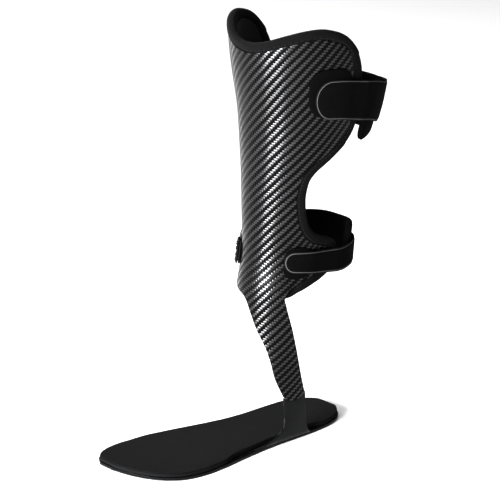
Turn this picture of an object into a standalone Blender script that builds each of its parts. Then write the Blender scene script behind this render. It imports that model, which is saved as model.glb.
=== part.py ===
"""Left ankle foot orthosis: a carbon shin shell on a lateral strut, a carbon footplate, a foam liner
with a bound edge, and two hook-and-loop straps that pivot on rings at the medial side.

Axes: +Z up, -Y towards the toes, +X lateral (the wearer's left). The origin is on the underside of
the footplate, below the ankle. Tables are in millimetres and degrees, and the meshes in metres.
Everything above the ankle follows one leg form. A place on it is an angle round the leg, from 0 at
the shin, positive to the lateral side, with a height and a distance outwards from the carbon's face.
"""

import math

import bmesh
import bpy
from mathutils import Matrix, Vector

MM = 0.001
GAP = 0.3
CARBON = 2.0
FOAM = 3.4
LINER_AIR = 1.6
LINER_BOTTOM = 139.5
MEAN_RADIUS = 44.0
BINDING_EDGE, BINDING_BODY, BINDING_REACH = 0.7, 6.4, 8.4
BINDING_FLUSH = 0.4
STRUT_TOP_Z, STRUT_SIDE, STRUT_SIDE_RAMP = 150.0, 63.0, 9.0

# The leg form: height, centre x, centre y, half width x, half depth in front, half depth behind.
LEG_FORM = (
    (0, 2, -8, 37, 54, 50),
    (45, 2, -4, 37, 46, 46),
    (90, 2, 0, 37, 41, 48),
    (130, 2, 1, 38.5, 41.5, 58),
    (165, 3, 3, 36, 39, 60),
    (205, 4, 8, 40.5, 43.8, 58),
    (254, 6, 16, 49, 52.5, 62),
    (300, 7, 19.7, 55.5, 59, 72),
    (345, 8, 20, 62, 66, 77),
    (385, 9, 20, 65, 69, 80),
)
REAR_SQUARENESS = 0.6

# The carbon's outline, row by row: height at the front, height at the edges, medial and lateral edge.
CARBON_ROWS = (
    (46, 46, 59.5, 88.5),
    (60, 60, 48.3, 82.3),
    (75, 75, 39.5, 76),
    (90, 90, 29, 70.5),
    (104, 104, 17, 65.5),
    (118, 118, 7, 59.5),
    (127, 127, 0, 56),
    (131.5, 131.5, -8, 54.3),
    (133.2, 133.2, -19, 54.6),
    (134.6, 134.6, -30, 55.2),
    (136.3, 136.3, -41, 56.2),
    (138.4, 138.4, -51, 58),
    (141, 141, -61, 61),
    (146, 146, -73, 73),
    (150, 150, -91, 91),
    (155, 155, -106, 106),
    (161, 161, -115, 115),
    (167, 167, -116, 116),
    (172, 172, -109, 109),
    (177, 177, -95, 95),
    (183, 183, -80, 80),
    (191, 191, -69, 69),
    (201, 201, -62, 62),
    (213, 213, -57, 57),
    (227, 227, -54, 54),
    (240, 240, -55, 55),
    (252, 252, -62.5, 62.5),
    (263, 263, -77, 77),
    (274, 274, -90, 90),
    (288, 288, -96.5, 96.5),
    (305, 305, -97.5, 97.5),
    (320, 326, -95.5, 95.5),
    (333, 343, -91.5, 91.5),
    (342, 355, -85, 85),
    (348, 363, -76, 76),
    (352, 367, -64, 64),
)
FIRST_LINER_ROW = 12
SHELL_COLUMNS = 18

# The strut meets the footplate's upright at a round end, centred on the ankle's flexing axis.
FLEX_Y = -15.5
FLEX_Z = 52.0
FLEX_RADIUS = 14.0
STRUT_LEFT, STRUT_RIGHT = 62.0, 90.0
STRUT_END_Z = 42.0
KNUCKLE_FRONT, KNUCKLE_REAR = -24.8, -3.8

# The footplate's edges in pairs from the heel to the toes: lateral x and y, medial x and y.
SOLE_EDGES = (
    (4, 60.5, -4, 60.5),
    (14, 58, -14, 57.5),
    (24, 50, -23, 49),
    (31, 38, -28.5, 37),
    (34.5, 22, -30.5, 21),
    (36, 4, -30.5, 3),
    (36.5, -15, -30, -15),
    (37, -35, -31, -35),
    (39.5, -58, -35, -58),
    (42.5, -80, -40, -80),
    (46, -103, -45, -103),
    (47.5, -122, -48, -122),
    (45, -142, -48, -141),
    (37, -159, -45.5, -157),
    (25, -171, -40, -170),
    (10, -179.5, -33, -179),
    (-7, -184.5, -24, -184.5),
)
SOLE_FRONT, SOLE_BACK = -184.5, 60.5
PLATE = 2.4
TOE_SPRING = 4.0
TOE_SPRING_START, TOE_SPRING_RUN = -125.0, 60.0
INSOLE_FOAM, INSOLE_COVER = 2.6, 0.9
INSOLE_INSET, COVER_INSET = 1.4, 2.0
WALL_FRONT, WALL_FRONT_RAMP = -104.0, 20.0
WALL_REAR, WALL_REAR_RAMP = 24.0, 13.0
INSOLE_WALL_INSET, COVER_WALL_INSET = 5.2, 5.6

# The upright's outline: distance along its profile, front edge y, rear edge y.
UPRIGHT_ROWS = (
    (-8, -70, 7),
    (-2, -82, 9.5),
    (1.5, -78, 8.5),
    (4, -67, 6.5),
    (8, -50, 3),
    (12, -37.5, 0),
    (17, -29.5, -1.5),
    (24, -26.6, -2.4),
    (32, -25.5, -3),
    (38, -25.0, -3.6),
)
UPRIGHT_FOOT_X = ((-82, 43.6), (-62, 41.2), (-40, 39.3), (-15, 38.8), (0, 38.6), (10, 38.2))
UPRIGHT = 2.2
UPRIGHT_LIFT = 0.15
BEND_RADIUS = 7.0
KNUCKLE_GAP = 0.3

# Angles round the leg are written past 180 where a strap runs on behind it to the medial side.
STRAPS = {
    "upper": {
        "patch": (54.5, 91, 297, 340, 14),
        "tip": (59.5, 18.0, 14.0),
        "run": (
            (103, 4.6, 307.3), (112, 3.6, 305), (125, 1.4, 301), (139, 0, 297.3), (180, -0.4, 293.5),
            (222, 0.2, 299.5), (240, 3.2, 305), (248, 4.6, 307), (259, 6.4, 311), (267, 7.4, 313),
        ),
        "tip_heights": ((59.5, 313.8), (80, 312.3), (103, 307.3)),
        "width": 36.5,
        "pad": (110, 232, 268, 314, 9),
        "ring": (270.5, 284.5, 315.0, 21.5),
        "tab_width": 28.0,
        "rivet_rise": 7.5,
    },
    "lower": {
        "patch": (50, 86, 150, 178, 9),
        "tip": (50, 9.7, 9.2),
        "run": (
            (116, 5.4, 159.5), (124, 5.8, 159.2), (150, 5.8, 160), (180, 5.2, 162),
            (215, 4.6, 162.5), (240, 4.8, 162.5), (257, 6.4, 162.5), (269, 7.4, 162.5),
        ),
        "tip_heights": ((50, 166.4), (80, 164), (116, 159.5)),
        "width": 21.5,
        "pad": (138, 226, 147, 186, 12),
        "ring": (275, 295, 162.5, 16.0),
        "tab_width": 18.0,
        "rivet_rise": 4.8,
    },
}
PATCH = 1.4
HOOK_HALF, HOOK_CORNER, HOOK_GAP = 9.0, 4.0, 0.5
STRAP = 2.0
STRAP_RETURN = 9.0
PAD, PAD_GAP = 5.0, 1.2
LEVEL = ((0, 0.0), (360, 0.0))
TIP_RISE = 0.28
WIRE = 1.5
RING_OUT = 4.6
RING_CORNER = 3.5
TAB = 1.7
TAB_LENGTH, RIVET_ALONG = 18.0, 11.5
TAB_SEAT, TAB_OVER = 1.45, 3.55
RIVET_SHANK, RIVET_HEAD, RIVET_FLANGE = 1.8, 4.2, 3.2
RIVET_CLEARANCE, RIVET_AIR = 0.3, 0.45
FLANGE_BOTTOM, FLANGE_TOP = -2.95, -2.45
HEAD_HEIGHTS, HEAD_SHARES = (0.7, 1.3, 1.6), (1.0, 0.75, 0.33)

BLACK = (0.012, 0.012, 0.013, 1)


def clear_scene():
    for obj in list(bpy.data.objects):
        bpy.data.objects.remove(obj)


def material(name, colour, roughness, metallic=0.0):
    made = bpy.data.materials.new(name)
    made.use_nodes = True
    shader = made.node_tree.nodes["Principled BSDF"]
    shader.inputs["Base Color"].default_value = colour
    shader.inputs["Roughness"].default_value = roughness
    shader.inputs["Metallic"].default_value = metallic
    return made


def clamp(x, low=0.0, high=1.0):
    return max(low, min(high, x))


def slope_at(xs, ys, i):
    """The slope of a curve through the points that never overshoots them."""
    if i in (0, len(xs) - 1):
        j = min(i, len(xs) - 2)
        return (ys[j + 1] - ys[j]) / (xs[j + 1] - xs[j])
    before = (ys[i] - ys[i - 1]) / (xs[i] - xs[i - 1])
    after = (ys[i + 1] - ys[i]) / (xs[i + 1] - xs[i])
    return 0.0 if before * after <= 0 else 2 * before * after / (before + after)


def smooth(table, x, column=1):
    """A smooth curve through a table's column, read at x."""
    xs = [row[0] for row in table]
    ys = [row[column] for row in table]
    x = clamp(x, xs[0], xs[-1])
    i = max(0, min(len(xs) - 2, sum(1 for value in xs if value <= x) - 1))
    h = xs[i + 1] - xs[i]
    t = (x - xs[i]) / h
    m0, m1 = slope_at(xs, ys, i), slope_at(xs, ys, i + 1)
    return (
        (2 * t**3 - 3 * t**2 + 1) * ys[i]
        + (t**3 - 2 * t**2 + t) * h * m0
        + (3 * t**2 - 2 * t**3) * ys[i + 1]
        + (t**3 - t**2) * h * m1
    )


def numbered(rows):
    """The rows with their number in front, so that smooth() can read between them."""
    return [(i, *row) for i, row in enumerate(rows)]


def on_leg(angle, height, out):
    """The point at an angle round the leg, a height, and a distance out from the carbon's face."""
    cx, cy, half_x, front, rear = (smooth(LEG_FORM, height, k) for k in range(1, 6))
    a = math.radians(angle)
    s, c = math.sin(a), math.cos(a)
    if c >= 0:
        return Vector((cx + (half_x + out) * s, cy - (front + out) * c, height)) * MM
    squared = math.copysign(abs(s) ** REAR_SQUARENESS, s)
    return Vector((cx + (half_x + out) * squared, cy - (rear + out) * c, height)) * MM


def carbon_row(position):
    """Height in front, height at the edges, medial and lateral edge of the carbon at a row position."""
    table = numbered(CARBON_ROWS)
    return tuple(smooth(table, position, k) for k in range(1, 5))


def carbon_place(u, position):
    """Angle and height on the carbon, u from -1 at the medial edge to 1 at the lateral edge."""
    front, side, left, right = carbon_row(position)
    angle = (left + right) / 2 + u * (right - left) / 2
    return angle, front + (side - front) * math.sin(math.pi / 2 * abs(u)) ** 2


def solid(name, faces_of_points, finish, smooth_angle=35):
    """One object from a list of faces, each a tuple of points. Equal points are joined."""
    mesh = bpy.data.meshes.new(name)
    made = bmesh.new()
    known = {}
    for face in faces_of_points:
        corners = []
        for point in face:
            key = tuple(round(x / MM, 4) for x in point)
            if key not in known:
                known[key] = made.verts.new(point)
            if known[key] not in corners:
                corners.append(known[key])
        if len(corners) > 2:
            made.faces.new(corners)
    bmesh.ops.recalc_face_normals(made, faces=made.faces)
    made.to_mesh(mesh)
    made.free()
    mesh.materials.append(finish)
    mesh.shade_smooth()
    mesh.set_sharp_from_angle(angle=math.radians(smooth_angle))
    obj = bpy.data.objects.new(name, mesh)
    bpy.context.scene.collection.objects.link(obj)
    return obj


def slab(name, rows, columns, place, finish):
    """A closed sheet: place(i, j, side) gives its point at a row and column, side 0 outside, 1 inside."""
    at = {
        (i, j, side): place(i, j, side)
        for i in range(rows + 1)
        for j in range(columns + 1)
        for side in (0, 1)
    }
    faces = []
    for i in range(rows):
        for j in range(columns):
            for side in (0, 1):
                faces.append([at[i, j, side], at[i + 1, j, side], at[i + 1, j + 1, side], at[i, j + 1, side]])
    for i in range(rows):
        for j in (0, columns):
            faces.append([at[i, j, 0], at[i + 1, j, 0], at[i + 1, j, 1], at[i, j, 1]])
    for j in range(columns):
        for i in (0, rows):
            faces.append([at[i, j, 0], at[i, j + 1, 0], at[i, j + 1, 1], at[i, j, 1]])
    return solid(name, faces, finish)


def loft(name, sections, finish, closed=False):
    """A solid through sections with equal numbers of points, with flat ends unless it is closed."""
    faces = []
    pairs = list(zip(sections, sections[1:]))
    if closed:
        pairs.append((sections[-1], sections[0]))
    for first, second in pairs:
        for k in range(len(first)):
            n = (k + 1) % len(first)
            faces.append([first[k], first[n], second[n], second[k]])
    if not closed:
        faces += [list(sections[0]), list(sections[-1])]
    return solid(name, faces, finish)


def disc_points(centre, along, radius, sides=16):
    """Points on a circle round an axis."""
    turn = along.to_track_quat("Z", "Y").to_matrix()
    return [
        centre + turn @ Vector((math.cos(a), math.sin(a), 0)) * radius * MM
        for a in (2 * math.pi * k / sides for k in range(sides))
    ]


def turned(name, centre, along, steps, finish, sides=16):
    """A round piece: steps give its distance along the axis and its radius there."""
    sections = [disc_points(centre + along * d * MM, along, r, sides) for d, r in steps]
    return loft(name, sections, finish)


def boolean(obj, other, operation):
    """Cuts other from obj, or joins it on, and keeps other as a hidden helper."""
    other.hide_render = True
    other.display_type = "WIRE"
    modifier = obj.modifiers.new(other.name, "BOOLEAN")
    modifier.operation = operation
    modifier.object = other


def knuckle_height(y, radius):
    """The height of the round end at the ankle, below its centre."""
    return FLEX_Z - math.sqrt(max(radius**2 - (y - FLEX_Y) ** 2, 0.0))


def shell_place(i, j, side):
    """A point of the carbon shell and strut. Row 0 is the strut's round end."""
    u = 2 * j / SHELL_COLUMNS - 1
    out = -CARBON * side
    if i == 0:
        angle = (STRUT_LEFT + STRUT_RIGHT) / 2 + u * (STRUT_RIGHT - STRUT_LEFT) / 2
        y = on_leg(angle, STRUT_END_Z, 0).y / MM
        return on_leg(angle, knuckle_height(y, FLEX_RADIUS), out)
    angle, height = carbon_place(u, i - 1)
    return on_leg(angle, height, out)


def tibial_shell(finish):
    return slab("tibial_shell", len(CARBON_ROWS), SHELL_COLUMNS, shell_place, finish)


def liner_foam(finish):
    rows = len(CARBON_ROWS) - 1 - FIRST_LINER_ROW

    def place(i, j, side):
        angle, height = carbon_place(2 * j / SHELL_COLUMNS - 1, i + FIRST_LINER_ROW)
        return on_leg(angle, height, -CARBON - LINER_AIR - FOAM * side)

    return slab("liner_foam", rows, SHELL_COLUMNS, place, finish)


def liner_edge():
    """The liner's edge as angle and height, up the lateral side, over the top, down and along the bottom."""
    rows = range(FIRST_LINER_ROW, len(CARBON_ROWS))
    lateral = [carbon_place(1, k) for k in rows]
    top = [carbon_place(1 - 2 * k / SHELL_COLUMNS, len(CARBON_ROWS) - 1) for k in range(1, SHELL_COLUMNS)]
    medial = [carbon_place(-1, k) for k in reversed(rows)]
    bottom = [(angle, LINER_BOTTOM) for angle in range(-48, 49, 12)]
    return lateral + top + medial + bottom


def edge_normal(edge, k):
    """The direction away from the liner at a point of its edge, as millimetres round and millimetres up."""
    radius = math.radians(MEAN_RADIUS)
    before, after = edge[k - 1], edge[(k + 1) % len(edge)]
    along = Vector(((after[0] - before[0]) * radius, after[1] - before[1]))
    along.normalize()
    return Vector((along.y, -along.x))


def binding_top(angle, height):
    """How far out the binding may reach: under the carbon at the strut, and flush with it elsewhere."""
    under = -CARBON - GAP
    if height > STRUT_TOP_Z:
        return BINDING_FLUSH
    return under + (BINDING_FLUSH - under) * clamp((abs(angle) - STRUT_SIDE) / STRUT_SIDE_RAMP)


def liner_binding(finish):
    """The tape folded round the foam's edge, as a closed band."""
    edge = liner_edge()
    low = -CARBON - LINER_AIR - FOAM - BINDING_FLUSH
    sections = []
    for k, (angle, height) in enumerate(edge):
        normal = edge_normal(edge, k)
        top = binding_top(angle, height)
        middle = (low + top) / 2
        section = []
        for away, out in (
            (BINDING_EDGE, top), (BINDING_BODY, top), (BINDING_REACH, middle), (BINDING_BODY, low),
            (BINDING_EDGE, low),
        ):
            radius = math.radians(smooth(LEG_FORM, height, 3) + middle)
            section.append(on_leg(angle + normal.x * away / radius, height + normal.y * away, out))
        sections.append(section)
    return loft("liner_binding", sections, finish, closed=True)


def surface_frame(angle, height, out=0.0):
    """Directions on the leg: round it, up it, and outwards."""
    round_it = (on_leg(angle + 0.5, height, out) - on_leg(angle - 0.5, height, out)).normalized()
    up = (on_leg(angle, height + 1, out) - on_leg(angle, height - 1, out)).normalized()
    outward = round_it.cross(up).normalized()
    return round_it, outward.cross(round_it), outward


def mm_per_degree(angle, height):
    return (on_leg(angle + 0.5, height, 0) - on_leg(angle - 0.5, height, 0)).length / MM


def patch(name, first, last, bottom, top, corner, inner, outer, finish, columns=8, rows=4, run=LEVEL):
    """A sheet on the leg with rounded corners, between two distances from the carbon or from a strap's run."""
    middle = (bottom + top) / 2
    scale = mm_per_degree((first + last) / 2, middle)
    length = (last - first) * scale
    steps = sorted(
        {0.0, 0.12 * corner, 0.45 * corner, corner}
        | {length - d for d in (0.0, 0.12 * corner, 0.45 * corner, corner)}
        | {corner + (length - 2 * corner) * k / columns for k in range(1, columns)}
    )

    def place(i, j, side):
        from_end = min(steps[i], length - steps[i], corner)
        half = (top - bottom) / 2 - corner + math.sqrt(corner**2 - (corner - from_end) ** 2)
        half = max(half, 0.5)
        angle = first + steps[i] / scale
        out = smooth(run, angle) + (inner if side else outer)
        return on_leg(angle, middle + (2 * j / rows - 1) * half, out)

    return slab(name, len(steps) - 1, rows, place, finish)


def hook_dots(finish):
    """Hook-and-loop squares that hold the liner in the shell."""
    for name, angle, height in (
        ("liner_hook_top_medial", -50, 338),
        ("liner_hook_top_lateral", 44, 345),
        ("liner_hook_middle_medial", -30, 240),
        ("liner_hook_middle_lateral", 30, 240),
        ("liner_hook_low_medial", -22, 160),
        ("liner_hook_low_lateral", 28, 160),
    ):
        reach = HOOK_HALF / mm_per_degree(angle, height)
        patch(
            name, angle - reach, angle + reach, height - HOOK_HALF, height + HOOK_HALF, HOOK_CORNER,
            -CARBON - LINER_AIR + GAP, -CARBON - HOOK_GAP, finish, columns=2, rows=2,
        )


def wall_share(y):
    """How near a place on the sole's lateral edge is to the upright: 1 beside it, 0 away from it."""
    t = clamp(min((y - WALL_FRONT) / WALL_FRONT_RAMP, (WALL_REAR - y) / WALL_REAR_RAMP))
    return t * t * (3 - 2 * t)


def toe_lift(y):
    return TOE_SPRING * clamp((TOE_SPRING_START - y) / TOE_SPRING_RUN) ** 2


def sole_layer(name, inset, wall_inset, low, high, finish, columns=3):
    """A layer of the sole between two heights, inset from its edge, and inset more beside the upright."""
    edges = numbered(SOLE_EDGES)
    front, back = SOLE_FRONT + inset, SOLE_BACK - inset

    def place(i, j, side):
        xr, yr, xl, yl = (smooth(edges, i, k) for k in range(1, 5))
        middle_y = clamp((yr + yl) / 2, front, back)
        share = clamp(1 - 2 * inset / max(xr - xl, 2 * inset + 2), 0.2)
        right = (xr + xl) / 2 + (xr - xl) / 2 * share
        left = (xr + xl) / 2 - (xr - xl) / 2 * share
        right -= max(wall_inset - inset, 0.0) * wall_share(middle_y)
        t = j / columns
        x, y = right + (left - right) * t, clamp(yr + (yl - yr) * t, front, back)
        return Vector((x, y, (low if side else high) + toe_lift(y))) * MM

    return slab(name, len(SOLE_EDGES) - 1, columns, place, finish)


def form_x(y, height):
    """The leg form's lateral x at a y and a height."""
    cx, cy, half_x, front, rear = (smooth(LEG_FORM, height, k) for k in range(1, 6))
    c = clamp((cy - y) / (front if y < cy else rear), -1, 1)
    return cx + half_x * math.sqrt(1 - c * c)


def upright_place(along, y, side):
    """A point of the upright, from its distance along a profile that is flat, then bends, then rises."""
    depth = UPRIGHT * side
    face = smooth(UPRIGHT_FOOT_X, y)
    start = face - BEND_RADIUS
    turn = BEND_RADIUS * math.pi / 2
    if along <= 0:
        return Vector((start + along, y, UPRIGHT_LIFT + depth * (1 - UPRIGHT_LIFT / 1.1))) * MM
    if along < turn:
        a = along / BEND_RADIUS
        radius = BEND_RADIUS - depth
        lift = UPRIGHT_LIFT * (1 - a / (math.pi / 2))
        return Vector((start + radius * math.sin(a), y, BEND_RADIUS - radius * math.cos(a) + lift)) * MM
    height = BEND_RADIUS + along - turn
    t = clamp((height - 6) / 28)
    t = t * t * (3 - 2 * t)
    return Vector((face + (form_x(y, height) - face) * t - depth, y, height)) * MM


def upright(finish):
    columns = 10

    def place(i, j, side):
        t = j / columns
        if i < len(UPRIGHT_ROWS):
            along, front, rear = UPRIGHT_ROWS[i]
            return upright_place(along, front + (rear - front) * t, side)
        y = KNUCKLE_FRONT + (KNUCKLE_REAR - KNUCKLE_FRONT) * t
        height = knuckle_height(y, FLEX_RADIUS + KNUCKLE_GAP)
        return upright_place(height - BEND_RADIUS + BEND_RADIUS * math.pi / 2, y, side)

    return slab("upright_helper", len(UPRIGHT_ROWS), columns, place, finish)


def footplate(finish):
    plate = sole_layer("footplate", 0.0, 0.0, 0.0, PLATE, finish)
    boolean(plate, upright(finish), "UNION")
    return plate


def strap_section(angle, height, out, half):
    outer = [on_leg(angle, height + rise * half, out + STRAP / 2) for rise in (1, 0, -1)]
    inner = [on_leg(angle, height + rise * half, out - STRAP / 2) for rise in (-1, 0, 1)]
    return outer + inner


def ring_frame(spec):
    """The ring's bars: where the strap turns and where the tab holds it, with the ring's directions."""
    strap_angle, tab_angle, height, half = spec["ring"]
    strap_bar = on_leg(strap_angle, height, RING_OUT)
    tab_bar = on_leg(tab_angle, height, RING_OUT)
    up = surface_frame((strap_angle + tab_angle) / 2, height)[1]
    across = (tab_bar - strap_bar).normalized()
    outward = across.cross(up).normalized()
    up = outward.cross(across)
    return strap_bar, tab_bar, across, up, outward, half


def ribbon_section(centre, off, up, half, thickness):
    side = off * (thickness / 2 * MM)
    outer = [centre + side + up * (rise * half * MM) for rise in (1, 0, -1)]
    inner = [centre - side + up * (rise * half * MM) for rise in (-1, 0, 1)]
    return outer + inner


def band(name, spec, finish):
    """The strap from the lateral edge round the back to the ring, and its turned-back end."""
    run = spec["run"]
    half = spec["width"] / 2
    first, last = run[0][0] + 0.3, run[-1][0]
    steps = 24
    sections = []
    for k in range(steps + 1):
        angle = first + (last - first) * k / steps
        sections.append(strap_section(angle, smooth(run, angle, 2), smooth(run, angle), half))
    strap_bar, _, across, up, outward, _ = ring_frame(spec)
    turn = WIRE + GAP + STRAP / 2
    for degrees in range(90, -91, -30):
        a = math.radians(degrees)
        off = across * math.cos(a) + outward * math.sin(a)
        sections.append(ribbon_section(strap_bar + off * turn * MM, off, up, half, STRAP))
    strap_angle, _, height, _ = spec["ring"]
    for share in (0.5, 1.0):
        angle = strap_angle - STRAP_RETURN * share / mm_per_degree(strap_angle, height)
        section = strap_section(angle, height, RING_OUT - turn, half)
        sections.append(section[::-1])
    return loft(name, sections, finish)


def tip(name, spec, finish):
    """The strap's end that presses onto the landing patch, with a round tongue."""
    start, half, tongue = spec["tip"]
    end, end_out = spec["run"][0][0] - 0.3, spec["run"][0][1]
    scale = mm_per_degree((start + end) / 2, spec["ring"][2])
    seat = GAP + PATCH + GAP + STRAP / 2
    length = (end - start) * scale
    steps = [tongue * d for d in (0.0, 0.06, 0.22, 0.45, 0.72, 1.0)]
    steps += [tongue + (length - tongue) * k / 8 for k in range(1, 9)]
    sections = []
    for along in steps:
        angle = start + along / scale
        inside = min(along, tongue)
        width = half * math.sqrt(1 - (1 - inside / tongue) ** 2) if inside < tongue else half
        width += (spec["width"] / 2 - half) * clamp((along - tongue) / (length - tongue))
        out = seat + (end_out - seat) * clamp((along / length - 1 + TIP_RISE) / TIP_RISE) ** 2
        sections.append(strap_section(angle, smooth(spec["tip_heights"], angle), out, max(width, half * 0.28)))
    return loft(name, sections, finish)


def ring(name, spec, finish):
    """A rectangular loop of round wire."""
    strap_bar, tab_bar, across, up, outward, half = ring_frame(spec)
    centre = (strap_bar + tab_bar) / 2
    half_width = (tab_bar - strap_bar).length / 2 / MM
    sections = []
    for quarter in range(4):
        sx, sy = ((1, 1), (-1, 1), (-1, -1), (1, -1))[quarter]
        corner = centre + across * (sx * (half_width - RING_CORNER) * MM) + up * (sy * (half - RING_CORNER) * MM)
        for step in range(5):
            a = math.radians(90 * quarter + 22.5 * step)
            off = across * math.cos(a) + up * math.sin(a)
            middle = corner + off * RING_CORNER * MM
            sections.append([
                middle + (off * math.cos(b) + outward * math.sin(b)) * WIRE * MM
                for b in (2 * math.pi * n / 8 for n in range(8))
            ])
    return loft(name, sections, finish, closed=True)


def tab(name, spec, finish):
    """The folded tab that holds the ring, both of its legs on the carbon under the rivets."""
    _, tab_bar, across, up, outward, _ = ring_frame(spec)
    _, angle, height, _ = spec["ring"]
    half = spec["tab_width"] / 2
    scale = mm_per_degree(angle + 8, height)
    turn = WIRE + GAP + TAB / 2

    def leg(along, out, flip):
        frame = surface_frame(angle + along / scale, height)
        centre = on_leg(angle + along / scale, height, out)
        return ribbon_section(centre, -frame[2] if flip else frame[2], frame[1], half, TAB)

    low = RING_OUT - turn
    high = RING_OUT + turn
    sections = [leg(TAB_LENGTH, TAB_SEAT, True), leg(14, TAB_SEAT, True), leg(9, TAB_SEAT, True)]
    sections += [leg(5, (TAB_SEAT * 2 + low) / 3, True)]
    for degrees in range(-90, -271, -30):
        a = math.radians(degrees)
        off = across * math.cos(a) + outward * math.sin(a)
        sections.append(ribbon_section(tab_bar + off * turn * MM, off, up, half, TAB))
    sections += [leg(4, high - 1.6, False), leg(8, TAB_OVER, False)]
    sections += [leg(14, TAB_OVER, False), leg(TAB_LENGTH, TAB_OVER, False)]
    return loft(name, sections, finish)


def rivet_places(spec):
    _, angle, height, _ = spec["ring"]
    at = angle + RIVET_ALONG / mm_per_degree(angle + 8, height)
    for rise in (spec["rivet_rise"], -spec["rivet_rise"]):
        yield on_leg(at, height + rise, 0), surface_frame(at, height)[2]


def rivets(name, spec, through, finish):
    """Two rivets, and their clearance holes in the pieces they pass through."""
    top = TAB_OVER + TAB / 2 + RIVET_AIR
    for word, (centre, outward) in zip(("top", "bottom"), rivet_places(spec)):
        turned(
            f"{name}_{word}", centre, outward,
            (
                (FLANGE_BOTTOM, RIVET_FLANGE), (FLANGE_TOP, RIVET_FLANGE), (FLANGE_TOP, RIVET_SHANK),
                (top, RIVET_SHANK), (top, RIVET_HEAD),
                *((top + h, RIVET_HEAD * share) for h, share in zip(HEAD_HEIGHTS, HEAD_SHARES)),
            ),
            finish,
        )
        hole = turned(
            f"{name}_{word}_hole", centre, outward,
            ((-4, RIVET_SHANK + RIVET_CLEARANCE), (8, RIVET_SHANK + RIVET_CLEARANCE)), finish,
        )
        for obj in through:
            boolean(obj, hole, "DIFFERENCE")


def set_origin(obj, point):
    """Moves a piece's origin to its joint and leaves its shape where it is."""
    obj.data.transform(Matrix.Translation(-point))
    obj.location = point


def strap_set(name, spec, shell, finishes):
    """One strap with everything that it fastens with."""
    strap_bar, tab_bar, *_ = ring_frame(spec)
    patch(f"{name}_landing_patch", *spec["patch"], GAP, GAP + PATCH, finishes["loop"])
    strap_band = band(f"{name}_strap_band", spec, finishes["strap"])
    strap_tip = tip(f"{name}_strap_tip", spec, finishes["strap"])
    first, last, bottom, top, corner = spec["pad"]
    outer = -STRAP / 2 - PAD_GAP
    pad = patch(
        f"{name}_pad", first, last, bottom, top, corner, outer - PAD, outer, finishes["pad"],
        columns=16, run=spec["run"],
    )
    set_origin(strap_band, strap_bar)
    set_origin(pad, strap_bar)
    angle, out, height = spec["run"][0]
    set_origin(strap_tip, on_leg(angle, height, out + STRAP / 2))
    set_origin(ring(f"{name}_ring", spec, finishes["steel"]), tab_bar)
    strap_tab = tab(f"{name}_ring_tab", spec, finishes["tab"])
    rivets(f"{name}_rivet", spec, (shell, strap_tab), finishes["steel"])


def main():
    clear_scene()
    carbon = material("carbon", (0.02, 0.021, 0.023, 1), 0.22)
    foam = material("foam", (0.028, 0.028, 0.03, 1), 0.75)
    finishes = {
        "loop": material("loop_fabric", BLACK, 0.95),
        "strap": material("strap_fabric", BLACK, 0.9),
        "pad": material("pad_fabric", BLACK, 0.92),
        "tab": material("webbing", BLACK, 0.85),
        "steel": material("blackened_steel", (0.03, 0.03, 0.03, 1), 0.4, 1.0),
    }
    footplate(carbon)
    sole_layer(
        "insole_foam", INSOLE_INSET, INSOLE_WALL_INSET, PLATE + GAP, PLATE + GAP + INSOLE_FOAM, foam
    )
    floor = PLATE + 2 * GAP + INSOLE_FOAM
    sole_layer(
        "insole_cover", COVER_INSET, COVER_WALL_INSET, floor, floor + INSOLE_COVER,
        material("insole_fabric", BLACK, 0.9),
    )
    shell = tibial_shell(carbon)
    set_origin(shell, Vector((0, FLEX_Y, FLEX_Z)) * MM)
    liner_foam(foam)
    liner_binding(material("binding_tape", BLACK, 0.85))
    hook_dots(finishes["loop"])
    for name, spec in STRAPS.items():
        strap_set(name, spec, shell, finishes)


main()
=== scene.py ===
"""The looks of the left ankle foot orthosis: twill carbon, bound foam liner, velour straps and pads.

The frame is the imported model: +Z up, -Y towards the toes, +X lateral. Tables are in millimetres and
degrees, and meshes in metres. A place on the leg form is an angle round it, from 0 at the shin,
positive to the lateral side, with a height and a distance outwards from the carbon's face.
"""

import functools
from math import copysign, cos, hypot, pi, radians, sin, sqrt

import bmesh
import bpy
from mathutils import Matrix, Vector, noise


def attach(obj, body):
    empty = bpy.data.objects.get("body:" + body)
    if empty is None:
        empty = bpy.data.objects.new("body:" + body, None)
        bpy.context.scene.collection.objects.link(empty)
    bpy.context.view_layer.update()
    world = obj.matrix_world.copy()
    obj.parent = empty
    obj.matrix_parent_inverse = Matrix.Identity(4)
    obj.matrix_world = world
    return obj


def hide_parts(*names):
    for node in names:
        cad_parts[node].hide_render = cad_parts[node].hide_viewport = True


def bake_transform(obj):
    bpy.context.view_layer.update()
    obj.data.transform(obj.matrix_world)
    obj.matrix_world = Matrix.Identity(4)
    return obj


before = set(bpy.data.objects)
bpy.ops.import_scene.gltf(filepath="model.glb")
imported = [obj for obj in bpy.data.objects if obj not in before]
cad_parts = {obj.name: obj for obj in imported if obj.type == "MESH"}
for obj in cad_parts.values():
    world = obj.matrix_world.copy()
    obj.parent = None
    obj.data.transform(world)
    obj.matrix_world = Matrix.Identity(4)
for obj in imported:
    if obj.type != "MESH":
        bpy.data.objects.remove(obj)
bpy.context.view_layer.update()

MM = 0.001

# The camera and the light
CAMERA_AZIMUTH, CAMERA_ELEVATION = 49.0, 18.0
CAMERA_DISTANCE = 2.2
CAMERA_TARGET = (-0.0171, -0.0196, 0.1645)
VIEW_GAMMA = 0.75
CAMERA_LENS = 180.0
SENSOR = 36.0

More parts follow.
